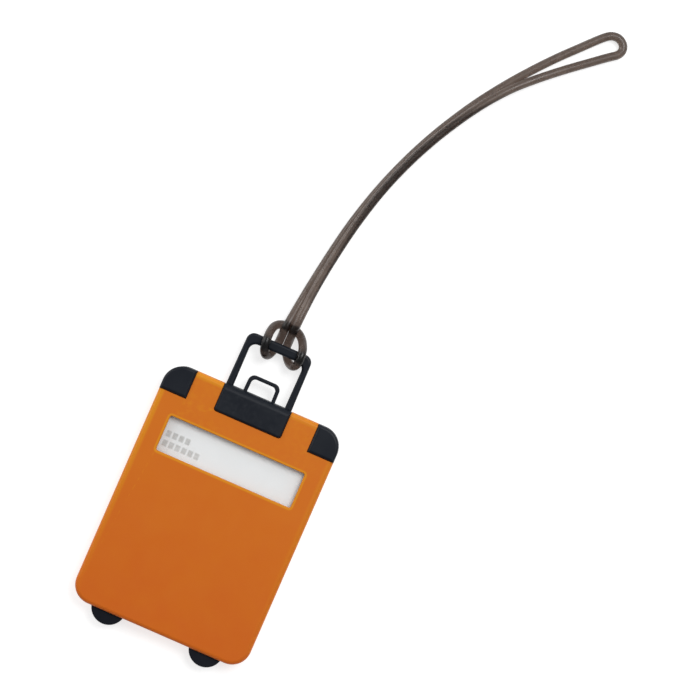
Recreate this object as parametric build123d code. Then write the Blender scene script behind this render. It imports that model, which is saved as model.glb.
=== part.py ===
"""Trolley-shaped luggage tag: a flat plastic case with a pull-out card holder and a strap loop.

Frame, in millimetres: the tag lies on its back.  +X is to the right when the front is faced,
+Y runs from the wheels to the handle, and +Z comes out of the front face.  Z = 0 is the rear face,
and X = Y = 0 is the middle of the tag without its strap.
"""
import os
from math import pi, radians, tan

from build123d import *

# ---------------------------------------------------------------- driving dimensions
# case
case_width = 56.4
case_length = 76.4
case_depth = 7.0
top_corner_r = 6.2
bottom_corner_r = 6.0
case_edge_r = 1.3          # rounding round the front and rear faces
split_z = 3.5              # where the two shells meet
split_groove = 0.18        # depth of the fine groove along that joint
split_groove_height = 0.24
skin = 1.3                 # thickness of the front and rear faces
wall = 2.1                 # thickness of the side walls
handle_rise = 17.25        # top of the handle above the top edge of the case
wheel_drop = 3.9           # how far the wheels stand out below the case
proud = 0.6                # how far the guards and the cap stand out of the front face
seam = 0.05                # gap between pieces that are fitted together
slack = 0.1                # gap along pieces that slide

# corner guards
guard_width = 8.6
guard_length = 8.95
guard_side = 0.9           # thickness round the sides
guard_rear = 0.6           # thickness on the rear face
guard_edge_r = 0.95

# window and its pane
window_width = 43.5
window_height = 11.1
window_drop = 20.8         # middle of the window below the top edge of the case
window_corner_r = 0.6
window_edge_r = 0.3
pane_half = 23.6
pane_margin = 1.8          # how far the pane reaches past the window, above and below
pane_z = (5.2, 5.7)
pane_stop = 0.8            # width of the two ribs that locate the pane

# cap of the card holder, clipped over the top edge of the case
cap_width = 21.6
cap_length = 8.7           # how far it reaches down the front
cap_lip = 0.25             # how far it stands above the top edge of the case
cap_bridge = 1.6           # thickness across the top edge
cap_front_z = 6.3          # back of the front leaf
cap_rear_z = (0.2, 0.95)   # rear leaf, clear of what the tag lies on
cap_corner_r = 0.9
cap_top_corner_r = 0.9
cap_bridge_corner_r = 0.3
cap_crown_r = 2.1          # rounding of the front leaf's top edge
cap_edge_r = 0.8
pad_half = 12.0            # thickened patch of each shell behind the cap's seat
pad_z = (2.3, 5.15)        # top of the rear patch and bottom of the front one

# trolley handle and small grip
handle_width = 20.7
handle_flare = 0.5         # how much wider it is at its foot
handle_bar = 3.0
handle_leg_top = 1.85
handle_leg_base = 2.25
handle_bends = (2.4, 2.1)    # outer and inner corner radius at the top
handle_edge_r = 0.8
handle_z = (2.8, 5.6)
grip_width = 9.9
grip_flare = 0.35
grip_rise = 5.7            # top of the small grip above the top edge of the case
grip_bar = 1.15
grip_bends = (2.0, 1.3)
grip_edge_r = 0.35
grip_z = (3.2, 5.2)

# tray, card and the way they slide
tray_half = 24.4
tray_z = (3.2, 4.2)
tray_bottom = -36.5
tray_head_z = (3.15, 5.05)  # bar that fills the slot in the top edge
lip_z = (4.65, 5.0)         # lips that hold the card down
lip_width = 1.6
side_width = 0.9
slot_half = 24.7
slot_z = (3.0, 5.2)
stop_half = 25.6            # wings that stop the tray before it leaves the case
stop_length = 2.5
stop_margin = 2.65          # from the top of the cavity to the wings when pulled right out
travel = 58.0               # how far the card holder pulls out
card_half = 23.4
card_z = (4.2, 4.6)
card_y = (-35.4, 28.8)
card_corner_r = 0.8

# wheels
wheel_r = 5.3
wheel_x = 15.8
wheel_z = (1.65, 5.35)
wheel_edge_r = 0.5
wheel_gap = 0.25            # round the wheel where it passes the bottom wall
pin_r = 1.0
pin_gap = 0.05              # radial running clearance of a wheel on its pin

# details inside the shells
boss_r = 1.9
peg_r = 0.98
peg_hole_r = 1.0
peg_tip_z = 1.8
peg_hole_z = 1.7
peg_places = [(0, -39.8), (-23.3, -39.5), (23.3, -39.5)]
tongue_x = (26.6, 27.4)     # tongue of the rear shell along each side
tongue_y = (-36.0, 20.0)
tongue_top = 4.3
rib_places = (-20, -8, 8, 20)
rib_width = 1.0
rail_x = (23.75, 24.4)      # rails that keep the tray down
rail_y = (-34.0, 26.5)
end_stop = ((-21.0, 21.0), (-37.4, -36.7), 4.6)   # x, y and top of the rib under the tray's end
root = 0.2                  # how deep ribs and bosses start inside the wall they stand on

strap_d = 2.6

# ---------------------------------------------------------------- places worked out from them
total_length = case_length + handle_rise + wheel_drop
case_top = total_length / 2 - handle_rise
case_bottom = case_top - case_length
cavity_top = case_top - wall
cavity_bottom = case_bottom + wall
cavity_z = (skin, case_depth - skin)
face_z = case_depth + proud
window_y = case_top - window_drop
wheel_y = case_bottom - wheel_drop + wheel_r
handle_top = case_top + handle_rise
cap_top = case_top + cap_lip
cap_bottom = case_top - cap_length
rib_z = skin - root
beyond = 1.0               # how far cutting tools run past what they cut
foot_y = cap_top - 0.6     # feet of the handle and the grip, just inside the cap
pad_y = (cap_bottom - 1.0, cavity_top + root)
rib_y = (tray_bottom + 0.5, cavity_top - 1.0)
rim_reach = 0.1            # how far past the window its rim is looked for

# ---------------------------------------------------------------- route of the strap
# A closed ring, hitched round the handle's bar.  It starts in the middle of the arch above the bar,
# comes down in front of the bar on the left, goes up behind it, runs out and back, and returns on
# the right.  The two runs lie close together, one leaning on the other.
strap_route = [
    (0.0, 54.5, 1.4), (-2.3, 54.4, 1.4), (-4.15, 53.3, 2.3), (-4.75, 51.3, 4.7),
    (-4.65, 48.8, 7.05), (-4.4, 45.9, 7.05), (-3.5, 44.0, 5.45), (-2.45, 44.0, 2.95),
    (-1.8, 45.75, 1.4), (-1.45, 48.1, 1.4), (-1.25, 50.45, 1.4), (-1.05, 53.25, 4.3),
    (-0.65, 56.2, 4.2), (-0.3, 59.6, 2.9), (0.1, 63.2, 1.6), (0.85, 68.75, 1.4),
    (2.35, 78.7, 1.4), (4.65, 91.2, 1.4), (8.7, 105.7, 1.4), (14.85, 121.15, 1.4),
    (22.7, 135.7, 1.4), (29.75, 146.2, 1.4), (36.2, 154.5, 1.4), (41.6, 160.85, 1.4),
    (46.85, 166.45, 1.4), (50.65, 170.6, 1.4), (53.2, 172.85, 1.4), (55.95, 173.0, 1.4),
    (58.1, 171.2, 1.4), (57.95, 168.55, 1.4), (55.0, 166.45, 1.4), (50.85, 163.0, 1.4),
    (45.1, 158.3, 1.4), (37.95, 151.9, 2.1), (31.05, 144.9, 3.4), (23.6, 134.65, 3.85),
    (15.7, 120.35, 3.9), (9.65, 105.3, 3.95), (5.85, 90.7, 3.9), (3.65, 77.7, 3.9),
    (2.5, 68.6, 4.0), (2.1, 63.2, 4.3), (1.9, 59.4, 4.9), (1.8, 56.2, 5.3),
    (1.6, 53.25, 4.5), (1.6, 50.45, 1.4), (1.85, 48.1, 1.4), (2.95, 45.75, 1.4),
    (4.45, 44.1, 2.95), (6.05, 44.1, 5.45), (6.85, 45.9, 7.05), (6.7, 48.8, 7.05),
    (5.95, 50.95, 4.9), (4.6, 52.85, 2.4), (2.45, 54.3, 1.4),
]
strap_half = 24            # points before the run where the two halves of the ring are joined


# ---------------------------------------------------------------- shapes used throughout
def plate(x, y, z):
    """A box from its (low, high) limits along each axis."""
    size = [high - low for low, high in (x, y, z)]
    middle = [(high + low) / 2 for low, high in (x, y, z)]
    return Pos(*middle) * Box(*size)


def on_side(side, limits):
    """Limits along X mirrored to one side of the tag (-1 or 1)."""
    return sorted(side * value for value in limits)


def post(x, y, z, radius):
    """An upright cylinder between two heights."""
    return Pos(x, y, (z[0] + z[1]) / 2) * Cylinder(radius, z[1] - z[0])


def rounded_plate(half, y, z, top_r, bottom_r):
    """An upright slab, middle on X = 0, with one corner radius at each end."""
    outline = Pos(0, (y[0] + y[1]) / 2) * Rectangle(2 * half, y[1] - y[0])
    outline = fillet(outline.vertices().group_by(Axis.Y)[-1], top_r)
    outline = fillet(outline.vertices().group_by(Axis.Y)[0], bottom_r)
    return extrude(Pos(0, 0, z[0]) * outline, z[1] - z[0])


def case_slab(z, inset=0.0):
    """The case's outline between two heights, drawn in by an inset."""
    return rounded_plate(case_width / 2 - inset, (case_bottom + inset, case_top - inset), z,
                         top_corner_r - inset, bottom_corner_r - inset)


def edges_at(solid, height):
    """The edges of a solid that lie in the plane at a height."""
    def is_flat_at(edge):
        box = edge.bounding_box()
        return abs(box.min.Z - height) < 1e-4 and abs(box.max.Z - height) < 1e-4
    return [edge for edge in solid.edges() if is_flat_at(edge)]


# ---------------------------------------------------------------- case
def guard_corner(side, gap=0.0):
    """The block of space that a corner guard fills, on one side (-1 or 1)."""
    x = on_side(side, (case_width / 2 - guard_width - gap, case_width / 2 + beyond))
    return plate(x, (case_top - guard_length - gap, case_top + beyond), (-beyond, face_z + beyond))


def guard_core():
    """What is left of the case inside the guards."""
    return case_slab((guard_rear, case_depth - proud), guard_side)


def tray_slot():
    """The slot through the top edge that the card holder slides in."""
    return plate((-slot_half, slot_half), (cavity_top - beyond, case_top + beyond), slot_z)


def case_block():
    """Both shells as one hollow block, with every cut that crosses the split."""
    block = case_slab((0, case_depth))
    block = fillet(edges_at(block, 0) + edges_at(block, case_depth), case_edge_r)
    groove_z = (split_z - split_groove_height / 2, split_z + split_groove_height / 2)
    block -= case_slab(groove_z) - case_slab(groove_z, split_groove)
    block -= case_slab(cavity_z, wall)
    block -= tray_slot()
    reach = wheel_r + wheel_gap
    for side in (-1, 1):
        block -= guard_corner(side, seam) - guard_core()
        block -= plate((side * wheel_x - reach, side * wheel_x + reach),
                       (case_bottom - beyond, cavity_bottom + beyond), cavity_z)
    return block


def cap_seat():
    """What the cap's seat takes out of the shells: down the front, across the top, down the rear."""
    half = cap_width / 2 + slack
    low = cap_bottom - slack
    high = cap_top + beyond
    seat = plate((-half, half), (cap_top - cap_bridge - slack, high), (-beyond, face_z))
    for z in ((cap_front_z - slack, face_z), (-beyond, cap_rear_z[1] + slack)):
        seat += rounded_plate(half, (low, high), z, cap_corner_r, cap_corner_r)
    return seat


def window_rim(shell):
    """The edges of the window opening on the front face."""
    half_x = window_width / 2 + rim_reach
    half_y = window_height / 2 + rim_reach
    return [edge for edge in edges_at(shell, case_depth)
            if abs(edge.center().X) < half_x and abs(edge.center().Y - window_y) < half_y]


def front_shell():
    """Front half of the case, with the window, the tray's rails and the pegs."""
    shell = case_block() & case_slab((split_z, case_depth))
    inner = cavity_z[1] + root
    shell += plate((-pad_half, pad_half), pad_y, (pad_z[1], inner))
    for side in (-1, 1):
        shell += plate(on_side(side, rail_x), rail_y, (lip_z[1] + slack, inner))
        shell += post(side * wheel_x, wheel_y, (wheel_z[1] + seam, inner), pin_r)
    pane_end = window_height / 2 + pane_margin + slack
    for low in (window_y - pane_end - pane_stop, window_y + pane_end):
        shell += plate((-pane_half, pane_half), (low, low + pane_stop), (pad_z[1], inner))
    for x, y in peg_places:
        shell += post(x, y, (split_z, inner), boss_r)
        shell += post(x, y, (peg_tip_z, split_z), peg_r)
    shell -= cap_seat()
    window_ends = (window_y - window_height / 2, window_y + window_height / 2)
    shell -= rounded_plate(window_width / 2, window_ends, (pane_z[0], face_z),
                           window_corner_r, window_corner_r)
    shell = fillet(window_rim(shell), window_edge_r)
    for side in (-1, 1):
        groove = on_side(side, (tongue_x[0] - seam, tongue_x[1] + seam))
        shell -= plate(groove, (tongue_y[0] - slack, tongue_y[1] + slack),
                       (split_z - beyond, tongue_top + slack))
    return shell


def rear_shell():
    """Rear half of the case, with guide ribs, the tray's end stop, wheel pins and peg sockets."""
    shell = case_block() & case_slab((0, split_z))
    shell += plate((-pad_half, pad_half), pad_y, (rib_z, pad_z[0]))
    for x in rib_places:
        shell += plate((x - rib_width / 2, x + rib_width / 2), rib_y, (rib_z, tray_z[0] - slack))
    stop_x, stop_y, stop_top = end_stop
    shell += plate(stop_x, stop_y, (rib_z, stop_top))
    for side in (-1, 1):
        shell += plate(on_side(side, tongue_x), tongue_y, (split_z - root, tongue_top))
        shell += post(side * wheel_x, wheel_y, (rib_z, wheel_z[1]), pin_r)
    for x, y in peg_places:
        shell += post(x, y, (rib_z, split_z), boss_r)
        shell -= post(x, y, (peg_hole_z, split_z + beyond), peg_hole_r)
    return shell - cap_seat()


def corner_guard(side):
    """Black cap over one top corner; it clips the two shells together."""
    blank = case_slab((0, face_z))
    blank = fillet(edges_at(blank, 0), case_edge_r)
    blank &= guard_corner(side)
    blank = fillet(edges_at(blank, face_z), guard_edge_r)
    return blank - guard_core() - tray_slot()


# ---------------------------------------------------------------- pull-out card holder
def arch(width, flare, bar, legs, top, z, bends, edge_r):
    """A flat handle: two legs and a bar, with its feet just inside the cap."""
    half_top = width / 2
    half_base = half_top + flare / 2
    leg_top, leg_base = legs
    outer = Polygon((-half_base, foot_y), (half_base, foot_y), (half_top, top), (-half_top, top),
                    align=None)
    outer = fillet(outer.vertices().group_by(Axis.Y)[-1], bends[0])
    inside_base = half_base - leg_base
    inside_top = half_top - leg_top
    inner = Polygon((-inside_base, foot_y - beyond), (inside_base, foot_y - beyond),
                    (inside_top, top - bar), (-inside_top, top - bar), align=None)
    inner = fillet(inner.vertices().group_by(Axis.Y)[-1], bends[1])
    solid = extrude(Pos(0, 0, z[0]) * (outer - inner), z[1] - z[0])
    return fillet(edges_at(solid, z[0]) + edges_at(solid, z[1]), edge_r)


def cap():
    """The block that clips over the top edge: front leaf, bridge and rear leaf."""
    half = cap_width / 2
    ends = (cap_bottom, cap_top)
    front = rounded_plate(half, ends, (cap_front_z, face_z), cap_top_corner_r, cap_corner_r)
    across = (cap_top - cap_bridge, cap_top)
    bridge = rounded_plate(half, across, (cap_rear_z[0], face_z), cap_top_corner_r,
                           cap_bridge_corner_r)
    rear = rounded_plate(half, ends, cap_rear_z, cap_top_corner_r, cap_corner_r)
    block = front + bridge
    block = fillet(edges_at(block, face_z), cap_edge_r)
    envelope = plate((-half - beyond, half + beyond), (cap_bottom - beyond, cap_top), (-beyond, face_z))
    crown = [edge for edge in edges_at(envelope, face_z) if abs(edge.center().Y - cap_top) < 1e-3]
    return (block & fillet(crown, cap_crown_r)) + rear


def tray():
    """The part of the holder inside the case: floor, sides, lips, stop wings and head bar."""
    solid = plate((-tray_half, tray_half), (tray_bottom, case_top - slack), tray_z)
    solid += plate((-tray_half, tray_half), (cavity_top - 0.3, case_top - slack), tray_head_z)
    stop_top = cavity_top - stop_margin - travel
    solid += plate((-stop_half, stop_half), (stop_top - stop_length, stop_top), (tray_z[0], lip_z[1]))
    length = (tray_bottom, cavity_top)
    for side in (-1, 1):
        solid += plate(on_side(side, (tray_half - side_width, tray_half)), length,
                       (tray_z[0], lip_z[1]))
        solid += plate(on_side(side, (tray_half - lip_width, tray_half)), length, lip_z)
    solid += plate((-tray_half, tray_half), (tray_bottom, tray_bottom + side_width),
                   (tray_z[0], lip_z[0]))
    room = (card_y[0] - slack, card_y[1] + slack)
    solid -= plate((-card_half - seam, card_half + seam), room, (card_z[0], lip_z[0]))
    solid -= plate((lip_width - tray_half, tray_half - lip_width), room, (card_z[0], lip_z[1] + beyond))
    return solid & case_slab((0, face_z), slack)


def card_holder():
    """Black moulding: cap, trolley handle, small grip and the tray that carries the card."""
    solid = cap() + tray()
    solid += arch(handle_width, handle_flare, handle_bar, (handle_leg_top, handle_leg_base),
                  handle_top, handle_z, handle_bends, handle_edge_r)
    solid += arch(grip_width, grip_flare, grip_bar, (grip_bar, grip_bar), case_top + grip_rise,
                  grip_z, grip_bends, grip_edge_r)
    return solid


def name_card():
    """The stiff paper card that the tray carries."""
    return rounded_plate(card_half, card_y, card_z, card_corner_r, card_corner_r)


def window_pane():
    """Clear sheet fixed behind the window."""
    reach = window_height / 2 + pane_margin
    return rounded_plate(pane_half, (window_y - reach, window_y + reach), pane_z,
                         card_corner_r, card_corner_r)


# ---------------------------------------------------------------- wheels
def wheel(side):
    """Disc that turns on a pin of the rear shell; only its lower part shows."""
    disc = post(side * wheel_x, wheel_y, wheel_z, wheel_r)
    disc = fillet(disc.edges().filter_by(GeomType.CIRCLE), wheel_edge_r)
    return disc - post(side * wheel_x, wheel_y, (0, case_depth), pin_r + pin_gap)


# ---------------------------------------------------------------- strap
def route_radii(points):
    """The largest arc at each point of a closed route that its two runs leave room for."""
    radii = []
    for i, here in enumerate(points):
        before = Vector(*here) - Vector(*points[i - 1])
        after = Vector(*points[(i + 1) % len(points)]) - Vector(*here)
        half_turn = radians(before.get_angle(after)) / 2
        radii.append(0.45 * min(before.length, after.length) / tan(half_turn))
    return radii


def halfway(a, b):
    """The point midway between two points of the route."""
    return tuple((p + q) / 2 for p, q in zip(a, b))


def strap_loop():
    """Soft plastic ring, hitched round the handle's bar: two halves of a tube, joined end to end."""
    radii = route_radii(strap_route)
    arch_join = halfway(strap_route[-1], strap_route[0])
    run_join = halfway(strap_route[strap_half - 1], strap_route[strap_half])
    halves = [([arch_join, *strap_route[:strap_half], run_join], radii[:strap_half]),
              ([run_join, *strap_route[strap_half:], arch_join], radii[strap_half:])]
    tubes = []
    length = 0
    for points, bends in halves:
        path = FilletPolyline(*points, radius=bends)
        section = Plane(origin=path @ 0, z_dir=path % 0) * Circle(strap_d / 2)
        tubes.append(sweep(section, path=path.wire()))
        length += path.length
    ring = tubes[0] + tubes[1]
    print("strap radii:", " ".join(f"{r:.1f}" for r in radii))
    print(f"strap length {length:.1f} mm, volume {ring.volume:.1f},",
          f"section times length {pi * strap_d ** 2 / 4 * length:.1f}")
    return ring


nodes = {
    "front_shell": front_shell(),
    "rear_shell": rear_shell(),
    "corner_guard_left": corner_guard(-1),
    "corner_guard_right": corner_guard(1),
    "card_holder": card_holder(),
    "name_card": name_card(),
    "window_pane": window_pane(),
    "wheel_left": wheel(-1),
    "wheel_right": wheel(1),
    "strap_loop": strap_loop(),
}

os.makedirs("parts", exist_ok=True)
for name, solid in nodes.items():
    export_step(solid, f"parts/{name}.step")
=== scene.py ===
"""Looks of the trolley-shaped luggage tag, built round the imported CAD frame.

Everything is in metres in the frame's own axes: the tag lies on its back, +X to the right of its front,
+Y towards its handle and +Z out of its front face.
"""
from math import radians

import bpy
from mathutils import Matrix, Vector


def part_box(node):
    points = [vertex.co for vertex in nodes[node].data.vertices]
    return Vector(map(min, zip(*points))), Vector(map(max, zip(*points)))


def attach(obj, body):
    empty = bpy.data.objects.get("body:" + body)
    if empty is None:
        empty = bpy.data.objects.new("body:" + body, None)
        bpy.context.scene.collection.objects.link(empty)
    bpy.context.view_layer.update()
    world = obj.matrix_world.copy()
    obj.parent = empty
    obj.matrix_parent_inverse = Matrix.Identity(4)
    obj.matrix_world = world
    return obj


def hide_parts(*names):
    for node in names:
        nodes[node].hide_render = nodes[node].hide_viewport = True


MM = 0.001

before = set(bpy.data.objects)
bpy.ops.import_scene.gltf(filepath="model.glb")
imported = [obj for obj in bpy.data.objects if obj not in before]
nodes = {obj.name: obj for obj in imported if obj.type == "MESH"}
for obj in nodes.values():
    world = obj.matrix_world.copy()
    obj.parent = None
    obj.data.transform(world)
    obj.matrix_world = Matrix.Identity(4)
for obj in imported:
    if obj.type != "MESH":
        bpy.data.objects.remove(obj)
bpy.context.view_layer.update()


# ---------------------------------------------------------------- camera, floor and light
VIEW_WIDTH = 207.8 * MM        # what the camera sees across, at the height of the front face
VIEW_CENTRE = (19.27 * MM, 55.38 * MM)
VIEW_ROLL = radians(23.6)
CAMERA_HEIGHT = 0.8
SENSOR = 36.0
CLIP = (0.01, 10)

FLOOR_REACH = 4.0              # from its middle to each side
FLOOR_DROP = 0.05 * MM         # below the tag's rear face, so that the two don't lie in one plane

SKY_DIM = 0.20                 # strength of the sky on the side of the wheels
SKY_BRIGHT = 0.68              # and on the side of the handle
LIGHT_TARGET = (0, 0.02, 0)
LIGHTS = [                     # name, place, width and height, watts
    ("key", (0.26, 0.45, 0.80), (0.45, 0.45), 4.45),
    ("left_fill", (-0.75, 0.25, 0.38), (0.6, 0.4), 2.4),
]


def make_camera():
    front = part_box("front_shell")[1].z
    data = bpy.data.cameras.new("camera")
    data.sensor_width = SENSOR
    data.lens = SENSOR * (CAMERA_HEIGHT - front) / VIEW_WIDTH
    data.clip_start, data.clip_end = CLIP
    camera = bpy.data.objects.new("camera", data)
    camera.location = (*VIEW_CENTRE, CAMERA_HEIGHT)
    camera.rotation_euler = (0, 0, VIEW_ROLL)
    bpy.context.scene.collection.objects.link(camera)
    bpy.context.scene.camera = camera


def make_floor():
    mesh = bpy.data.meshes.new("floor")
    corners = [(x * FLOOR_REACH, y * FLOOR_REACH, 0) for x, y in ((-1, -1), (1, -1), (1, 1), (-1, 1))]
    mesh.from_pydata(corners, [], [(0, 1, 2, 3)])
    floor = bpy.data.objects.new("floor", mesh)
    floor.location.z = -FLOOR_DROP
    bpy.context.scene.collection.objects.link(floor)
    mesh.materials.append(floor_white())


def make_lights():
    for name, place, size, watts in LIGHTS:
        data = bpy.data.lights.new(name, "AREA")
        data.shape = "RECTANGLE"
        data.size, data.size_y = size
        data.energy = watts
        light = bpy.data.objects.new(name, data)
        light.location = place
        direction = Vector(LIGHT_TARGET) - Vector(place)
        light.rotation_euler = direction.to_track_quat("-Z", "Y").to_euler()
        bpy.context.scene.collection.objects.link(light)


def make_world():
    """A soft studio sky, brighter on the side that the handle points to."""
    world = bpy.data.worlds.new("studio")
    world.use_nodes = True
    tree = world.node_tree
    direction = tree.nodes.new("ShaderNodeTexCoord").outputs["Generated"]
    split = tree.nodes.new("ShaderNodeSeparateXYZ")
    tree.links.new(direction, split.inputs[0])
    strength = tree.nodes.new("ShaderNodeMapRange")
    strength.inputs["From Min"].default_value = -1.0
    strength.inputs["From Max"].default_value = 1.0
    strength.inputs["To Min"].default_value = SKY_DIM
    strength.inputs["To Max"].default_value = SKY_BRIGHT
    tree.links.new(split.outputs["Y"], strength.inputs["Value"])
    background = tree.nodes["Background"]
    background.inputs["Color"].default_value = (1, 1, 1, 1)
    tree.links.new(strength.outputs["Result"], background.inputs["Strength"])
    bpy.context.scene.world = world


# ---------------------------------------------------------------- material tools
class Paint:
    """A Principled material with a few short ways to add procedural detail.

    Its plain colour and roughness hold wherever no node is linked to them.
    """

    def __init__(self, name, colour, roughness, **plain):
        self.material = bpy.data.materials.new(name)
        self.material.use_nodes = True
        self.tree = self.material.node_tree
        self.shader = self.tree.nodes["Principled BSDF"]
        self.shader.inputs["Base Color"].default_value = (*colour, 1)
        self.shader.inputs["Roughness"].default_value = roughness
        for socket, value in plain.items():
            self.shader.inputs[socket.replace("_", " ")].default_value = value
        self.place = self.tree.nodes.new("ShaderNodeTexCoord").outputs["Object"]

    def node(self, kind, links=(), **settings):
        made = self.tree.nodes.new("ShaderNode" + kind)
        for key, value in settings.items():
            setattr(made, key, value)
        for socket, value in dict(links).items():
            if isinstance(value, bpy.types.NodeSocket):
                self.tree.links.new(value, made.inputs[socket])
            else:
                made.inputs[socket].default_value = value
        return made

    def noise(self, size, detail, rough=0.55):
        """Noise whose blobs are about size metres across."""
        links = {"Vector": self.place, "Scale": 1 / size, "Detail": detail, "Roughness": rough}
        return self.node("TexNoise", links).outputs["Fac"]

    def band(self, value, low, high, to_low=0.0, to_high=1.0):
        """A number that goes evenly from to_low to to_high as value goes from low to high."""
        links = {"Value": value, "From Min": low, "From Max": high, "To Min": to_low, "To Max": to_high}
        return self.node("MapRange", links, clamp=True).outputs["Result"]

    def mix(self, factor, a, b):
        """Colour between a and b."""
        made = self.node("Mix", data_type="RGBA")
        self.tree.links.new(factor, made.inputs["Factor"])
        for socket, value in ((made.inputs[6], a), (made.inputs[7], b)):
            if isinstance(value, bpy.types.NodeSocket):
                self.tree.links.new(value, socket)
            else:
                socket.default_value = (*value, 1)
        return made.outputs[2]

    def math(self, operation, a, b):
        made = self.node("Math", operation=operation)
        for socket, value in zip(made.inputs, (a, b)):
            if isinstance(value, bpy.types.NodeSocket):
                self.tree.links.new(value, socket)
            else:
                socket.default_value = value
        return made.outputs[0]

    def axes(self):
        """The x and y of a point of the surface, in metres."""
        split = self.node("SeparateXYZ", {"Vector": self.place})
        return split.outputs["X"], split.outputs["Y"]

    def near(self, place, full, none):
        """1 within the full distance of a place, falling to 0 at the none distance."""
        away = self.node("VectorMath", {0: self.place, 1: place}, operation="DISTANCE")
        return self.band(away.outputs["Value"], full, none, 1.0, 0.0)

    def window(self, value, low, high, soft):
        """1 between low and high, with edges that fade over a soft width."""
        rise = self.band(value, low - soft / 2, low + soft / 2)
        fall = self.band(value, high - soft / 2, high + soft / 2, 1.0, 0.0)
        return self.math("MULTIPLY", rise, fall)

    def border(self, centre, half, corner, low, high, soft):
        """1 along the inside of a rounded rectangle's edge, between two depths below its outline."""
        outside = []
        for value, middle, reach in zip(self.axes(), centre, half):
            away = self.math("ABSOLUTE", self.math("SUBTRACT", value, middle), 0.0)
            outside.append(self.math("SUBTRACT", away, reach - corner))
        nearest = self.math("MINIMUM", self.math("MAXIMUM", *outside), 0.0)
        squares = [self.math("POWER", self.math("MAXIMUM", value, 0.0), 2.0) for value in outside]
        round_part = self.math("SQRT", self.math("ADD", *squares), 0.0)
        distance = self.math("SUBTRACT", self.math("ADD", round_part, nearest), corner)
        return self.window(distance, -high, -low, soft)

    def set(self, socket, value):
        self.tree.links.new(value, self.shader.inputs[socket])

    def bump(self, *layers):
        """Layers of (height socket, height in metres)."""
        normal = None
        for height, depth in layers:
            links = {"Height": height, "Distance": depth, "Strength": 1.0}
            if normal is not None:
                links["Normal"] = normal
            normal = self.node("Bump", links).outputs["Normal"]
        self.set("Normal", normal)


# ---------------------------------------------------------------- materials
NOISE_RANGE = (0.3, 0.7)                 # where the values of a noise mostly lie
CLOUD_SIZE = 9 * MM                      # patches of slightly different colour in moulded plastic
WAVE_SIZE = 12 * MM                      # and of its slightly uneven surface
WAVE_HEIGHT = 8                          # times the depth of the grain
SMEAR_SIZE = 5 * MM                      # patches of slightly different gloss
SMEAR = (-0.04, 0.06)                    # what they take from and add to the roughness
RUB_EDGE = (0.52, 0.62)                  # pointiness at which an edge starts to be rubbed, and is
RUB_PATCH = (0.45, 0.75)                 # the noise that breaks the rubbing up into patches
RUB_SIZE = 1.5 * MM
RUB_STRENGTH = 0.5

ORANGE_SHADED = (0.595, 0.119, 0.0085)      # painted shade: the orange at the wheels' end, darker and redder where less light falls
ORANGE_LIT = (0.615, 0.156, 0.0095)     # painted light: the orange at the handle's end, yellower where more light falls
ORANGE_PALE_AND_HIGHLIGHT = (0.68, 0.25, 0.008)        # paler orange: of the clouding and rubbed edges, and of the painted highlights along the outer edge and round the window
ORANGE_CLOUD = 0.10
ORANGE_ROUGHNESS = 0.40
ORANGE_GRAIN = (0.35 * MM, 0.004 * MM)   # size and depth
CASE_CORNER = 6.0 * MM
EDGE_HIGHLIGHT_WIDTH = 1.8 * MM                     # painted highlight along the lit edge of the case
EDGE_HIGHLIGHT_FADE = 0.7 * MM
EDGE_HIGHLIGHT_RIGHT = 0.35                         # how much of the painted highlight is left at the right-hand side
WINDOW_HALF = (21.75 * MM, 5.55 * MM)    # half the width and height of the window
WINDOW_CORNER = 0.6 * MM
LIP_HIGHLIGHT_WIDTH = 0.75 * MM                    # painted highlight on the lip round the window
LIP_HIGHLIGHT_START = 0.05 * MM
LIP_HIGHLIGHT_FADE = 0.3 * MM
LIP_HIGHLIGHT_STRENGTH = 0.9

DARK_CLOUD = 0.3
DARK_GRAIN = 0.3 * MM
BLACK_PLASTIC = {"colour": (0.0035, 0.006, 0.0115), "pale": (0.02, 0.023, 0.029),
                 "roughness": 0.42, "gloss": 0.2, "depth": 0.006 * MM}
WHEEL_PLASTIC = {"colour": (0.0038, 0.0052, 0.0098), "pale": (0.014, 0.016, 0.022),
                 "roughness": 0.5, "gloss": 0.12, "depth": 0.008 * MM}

FLOOR_SHADE = 0.5
FLOOR_ROUGHNESS = 0.7
FLOOR_GLOW = 0.68

PAPER = ((0.81, 0.835, 0.845), (0.86, 0.885, 0.895))
FIBRE_SIZE = 0.25 * MM
FIBRE_DEPTH = 0.01 * MM
INK = (0.30, 0.29, 0.27)
INK_STRENGTH = (0.45, 0.75)
INK_PATCH = 1.2 * MM
CAPTION_PITCH = 2.05 * MM
CAPTION_HEIGHT = 1.9 * MM
CAPTION_FADE = (0.1 * MM, 0.35 * MM)     # along and across a row
CAPTION_BLOCK = (0.08, 0.80, 0.16)       # start, end and fade of a block, in pitches
CAPTIONS = [(-21.1 * MM, 10.0 * MM, 4), (-21.1 * MM, 7.0 * MM, 6)]    # left, foot, number of blocks

SMOKE = ((0.12, 0.087, 0.071), (0.165, 0.125, 0.103))
SMOKE_SIZE = 3 * MM
SMOKE_RANGE = (0.35, 0.65)               # narrower than NOISE_RANGE, so the smoke is streakier
SMOKE_HITCH_SHADE = (0.075, 0.053, 0.044)      # painted shade: the strap's colour in the hitch, where it overlaps itself
SMOKE_WRAP_SHADE = (0.012, 0.010, 0.010)       # and painted shade at the wraps, where the black bar shows through
HITCH_FADE = (54 * MM, 61 * MM)          # y at which the painted shade of the hitch starts to fade, and has gone
HITCH_STRENGTH = 0.85
STRAP_SHADE_SPOTS = [(-3.5, 44.4, 5.6), (-4.5, 47.2, 7.6), (6.8, 47.4, 7.6)]    # middles of the spots of painted shade, mm
WRAP_REACH = (2.0 * MM, 3.2 * MM)        # how far a spot is at its darkest, and where it has gone
WRAP_STRENGTH = 0.9
FLOW_SIZE = 2.5 * MM
FLOW_DEPTH = 0.02 * MM
STRAP_ROUGHNESS = (0.24, 0.34)


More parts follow.
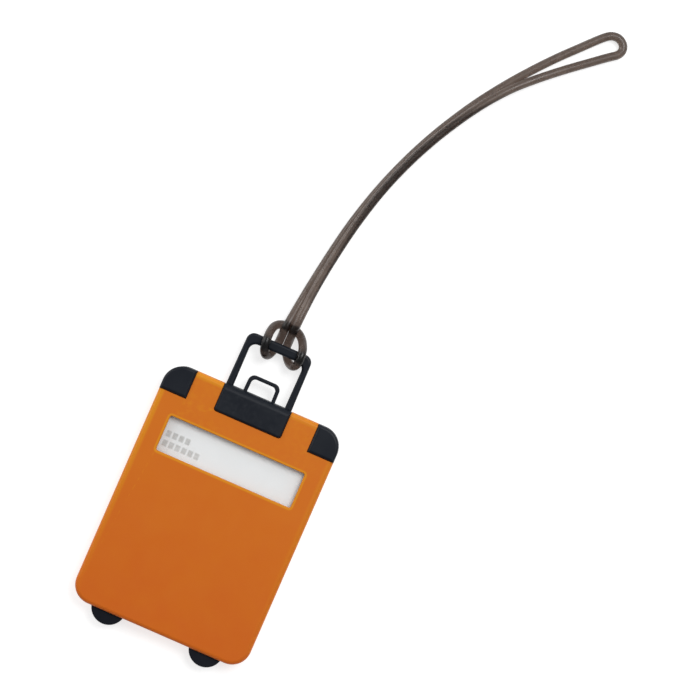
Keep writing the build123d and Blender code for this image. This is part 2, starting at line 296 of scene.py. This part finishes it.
def moulded_plastic(paint, shade, pale, roughness, grain, depth):
    """Moulded plastic: a fine spark-eroded grain, uneven gloss and slightly rubbed edges."""
    edge = paint.node("NewGeometry").outputs["Pointiness"]
    rub = paint.band(edge, *RUB_EDGE)
    patch = paint.band(paint.noise(RUB_SIZE, 5), *RUB_PATCH)
    worn = paint.math("MULTIPLY", paint.math("MULTIPLY", rub, patch), RUB_STRENGTH)
    paint.set("Base Color", paint.mix(worn, shade, pale))
    least, most = (roughness + change for change in SMEAR)
    paint.set("Roughness", paint.band(paint.noise(SMEAR_SIZE, 4), *NOISE_RANGE, least, most))
    paint.bump((paint.noise(grain, 3), depth), (paint.noise(WAVE_SIZE, 1), WAVE_HEIGHT * depth))
    return paint.material


def clouds(paint, strength):
    """Large soft patches, from 0 to the strength."""
    return paint.band(paint.noise(CLOUD_SIZE, 3), *NOISE_RANGE, 0.0, strength)


def orange_plastic():
    """Orange plastic with painted light: yellower towards the handle, and a painted highlight along its
    outer edge and round the window.
    """
    paint = Paint("orange_plastic", ORANGE_SHADED, ORANGE_ROUGHNESS, Specular_IOR_Level=0.20)
    low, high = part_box("front_shell")
    x, y = paint.axes()
    # painted light: the orange goes from shaded at the wheels to lit at the handle
    along = paint.band(y, low.y, high.y)
    painted_light_drift = paint.mix(along, ORANGE_SHADED, ORANGE_LIT)
    shade = paint.mix(clouds(paint, ORANGE_CLOUD), painted_light_drift, ORANGE_PALE_AND_HIGHLIGHT)
    # painted highlight along the case's outer edge, stronger towards the handle and the left, where the
    # light falls
    edge_highlight = paint.border((low + high) / 2, (high - low) / 2, CASE_CORNER, 0.0, EDGE_HIGHLIGHT_WIDTH, EDGE_HIGHLIGHT_FADE)
    towards_left = paint.band(x, low.x, high.x, 1.0, EDGE_HIGHLIGHT_RIGHT)
    painted_highlight = paint.math("MULTIPLY", edge_highlight, paint.math("MULTIPLY", along, towards_left))
    pane_low, pane_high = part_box("window_pane")
    # painted highlight on the lit lip just outside the window's opening
    lip = paint.border((pane_low + pane_high) / 2, WINDOW_HALF, WINDOW_CORNER,
                       -LIP_HIGHLIGHT_WIDTH, -LIP_HIGHLIGHT_START, LIP_HIGHLIGHT_FADE)
    painted_highlight = paint.math("MAXIMUM", painted_highlight, paint.math("MULTIPLY", lip, LIP_HIGHLIGHT_STRENGTH))
    shade = paint.mix(painted_highlight, shade, ORANGE_PALE_AND_HIGHLIGHT)
    return moulded_plastic(paint, shade, ORANGE_PALE_AND_HIGHLIGHT, ORANGE_ROUGHNESS, *ORANGE_GRAIN)


def dark_plastic(name, colour, pale, roughness, gloss, depth):
    """Nearly black plastic with faint clouding."""
    paint = Paint(name, colour, roughness, Specular_IOR_Level=gloss)
    shade = paint.mix(clouds(paint, DARK_CLOUD), colour, pale)
    return moulded_plastic(paint, shade, pale, roughness, DARK_GRAIN, depth)


def floor_white():
    """A white light table: pale, matt and faintly lit from within."""
    paint = Paint("floor_white", (FLOOR_SHADE, FLOOR_SHADE, FLOOR_SHADE), FLOOR_ROUGHNESS)
    paint.shader.inputs["Emission Color"].default_value = (1, 1, 1, 1)
    paint.shader.inputs["Emission Strength"].default_value = FLOOR_GLOW
    return paint.material


def card_paper():
    """White card with two rows of grey blocks where a printed form has its captions."""
    paint = Paint("card_paper", (0.84, 0.85, 0.845), 0.75)
    fibre = paint.noise(FIBRE_SIZE, 5)
    paper = paint.mix(paint.band(fibre, *NOISE_RANGE), *PAPER)
    x, y = paint.axes()
    fade_along, fade_across = CAPTION_FADE
    ink = 0.0
    for left, low, count in CAPTIONS:
        across = paint.math("SUBTRACT", x, left)
        row = paint.window(y, low, low + CAPTION_HEIGHT, fade_across)
        run = paint.window(across, 0, count * CAPTION_PITCH, fade_along)
        step = paint.math("FRACT", paint.math("DIVIDE", across, CAPTION_PITCH), 0.0)
        block = paint.window(step, *CAPTION_BLOCK)
        mark = paint.math("MULTIPLY", paint.math("MULTIPLY", row, run), block)
        ink = paint.math("MAXIMUM", mark, ink)
    uneven = paint.band(paint.noise(INK_PATCH, 2), *NOISE_RANGE, *INK_STRENGTH)
    paint.set("Base Color", paint.mix(paint.math("MULTIPLY", ink, uneven), paper, INK))
    paint.bump((fibre, FIBRE_DEPTH))
    return paint.material


def clear_sheet():
    """Clear plastic, seen as a faint veil with a soft gloss."""
    return Paint("clear_sheet", (0.95, 0.96, 0.96), 0.08, Alpha=0.10).material


def soft_plastic():
    """Smoky brown translucent plastic, with painted shade in the hitch and at the wraps over the black
    bar, where light passes several layers.
    """
    paint = Paint("soft_plastic", (0.14, 0.105, 0.086), 0.18, Transmission_Weight=1.0, IOR=1.40)
    shade = paint.mix(paint.band(paint.noise(SMOKE_SIZE, 4, 0.6), *SMOKE_RANGE), *SMOKE)
    # painted shade over the hitch, where the strap overlaps itself
    hitch = paint.band(paint.axes()[1], *HITCH_FADE, HITCH_STRENGTH, 0.0)
    shade = paint.mix(hitch, shade, SMOKE_HITCH_SHADE)
    # painted shade at the wraps, where the black bar shows through the strap
    for place in STRAP_SHADE_SPOTS:
        spot = paint.near([value * MM for value in place], *WRAP_REACH)
        shade = paint.mix(paint.math("MULTIPLY", spot, WRAP_STRENGTH), shade, SMOKE_WRAP_SHADE)
    paint.set("Base Color", shade)
    flow = paint.noise(FLOW_SIZE, 2)
    paint.set("Roughness", paint.band(flow, *NOISE_RANGE, *STRAP_ROUGHNESS))
    paint.bump((flow, FLOW_DEPTH))
    return paint.material


# ---------------------------------------------------------------- strap
STRAP_ROUTE = [
    (0.0, 54.5, 1.4), (-2.3, 54.4, 1.4), (-4.15, 53.3, 2.3), (-4.75, 51.3, 4.7),
    (-4.65, 48.8, 7.05), (-4.4, 45.9, 7.05), (-3.5, 44.0, 5.45), (-2.45, 44.0, 2.95),
    (-1.75, 45.75, 1.4), (-1.2, 48.1, 1.4), (-1.1, 50.45, 1.4), (-1.05, 53.25, 4.3),
    (-0.65, 56.2, 4.2), (-0.3, 59.6, 2.9), (0.1, 63.2, 1.6), (0.85, 68.75, 1.4),
    (2.35, 78.7, 1.4), (4.65, 91.2, 1.4), (8.7, 105.7, 1.4), (14.85, 121.15, 1.4),
    (22.7, 135.7, 1.4), (29.75, 146.2, 1.4), (36.2, 154.5, 1.4), (41.6, 160.85, 1.4),
    (46.85, 166.45, 1.4), (50.65, 170.6, 1.4), (53.2, 172.85, 1.4), (55.95, 173.0, 1.4),
    (58.1, 171.2, 1.4), (57.95, 168.55, 1.4), (55.0, 166.45, 1.4), (50.85, 163.0, 1.4),
    (45.1, 158.3, 1.4), (37.95, 151.9, 2.1), (31.05, 144.9, 3.4), (23.6, 134.65, 3.85),
    (15.7, 120.35, 3.9), (9.65, 105.3, 3.95), (5.85, 90.7, 3.9), (3.65, 77.7, 3.9),
    (2.5, 68.6, 4.0), (2.1, 63.2, 4.3), (1.9, 59.4, 4.9), (1.8, 56.2, 5.3),
    (1.6, 53.25, 4.5), (1.55, 50.45, 1.4), (1.5, 48.1, 1.4), (2.85, 45.75, 1.4),
    (4.45, 44.1, 2.95), (6.05, 44.0, 5.5), (6.85, 45.8, 7.05), (6.7, 48.8, 7.05),
    (5.95, 50.95, 4.9), (4.6, 52.85, 2.4), (2.45, 54.3, 1.4), (0.0, 54.5, 1.4),
]
STRAP_DIAMETER = 2.6 * MM
STRAP_STEPS = 16               # steps of the smooth curve from one segment to the next
STRAP_SIDES = 8                # how finely its round section is divided


def make_strap(material):
    """The closed ring of soft cord, hitched round the handle's bar."""
    data = bpy.data.curves.new("strap", "CURVE")
    data.dimensions = "3D"
    data.resolution_u = STRAP_STEPS
    data.bevel_depth = STRAP_DIAMETER / 2
    data.bevel_resolution = STRAP_SIDES
    data.use_fill_caps = True
    spline = data.splines.new("NURBS")
    spline.points.add(len(STRAP_ROUTE) - 1)
    for point, (x, y, z) in zip(spline.points, STRAP_ROUTE):
        point.co = (x * MM, y * MM, z * MM, 1)
    spline.order_u = 3
    spline.use_endpoint_u = True
    data.materials.append(material)
    strap = bpy.data.objects.new("strap", data)
    bpy.context.scene.collection.objects.link(strap)
    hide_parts("strap_loop")
    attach(strap, "pull_out")


def finish_node(name, material):
    """Give a carried-over CAD node its finished material."""
    data = nodes[name].data
    data.materials.clear()
    data.materials.append(material)


make_camera()
make_strap(soft_plastic())
make_floor()
make_world()
make_lights()

FINISHES = [
    (orange_plastic(), ("front_shell", "rear_shell")),
    (dark_plastic("black_plastic", **BLACK_PLASTIC),
     ("corner_guard_left", "corner_guard_right", "card_holder")),
    (dark_plastic("wheel_plastic", **WHEEL_PLASTIC), ("wheel_left", "wheel_right")),
    (card_paper(), ("name_card",)),
    (clear_sheet(), ("window_pane",)),
]
for material, names in FINISHES:
    for name in names:
        finish_node(name, material)

bpy.context.scene.view_settings.view_transform = "Standard"
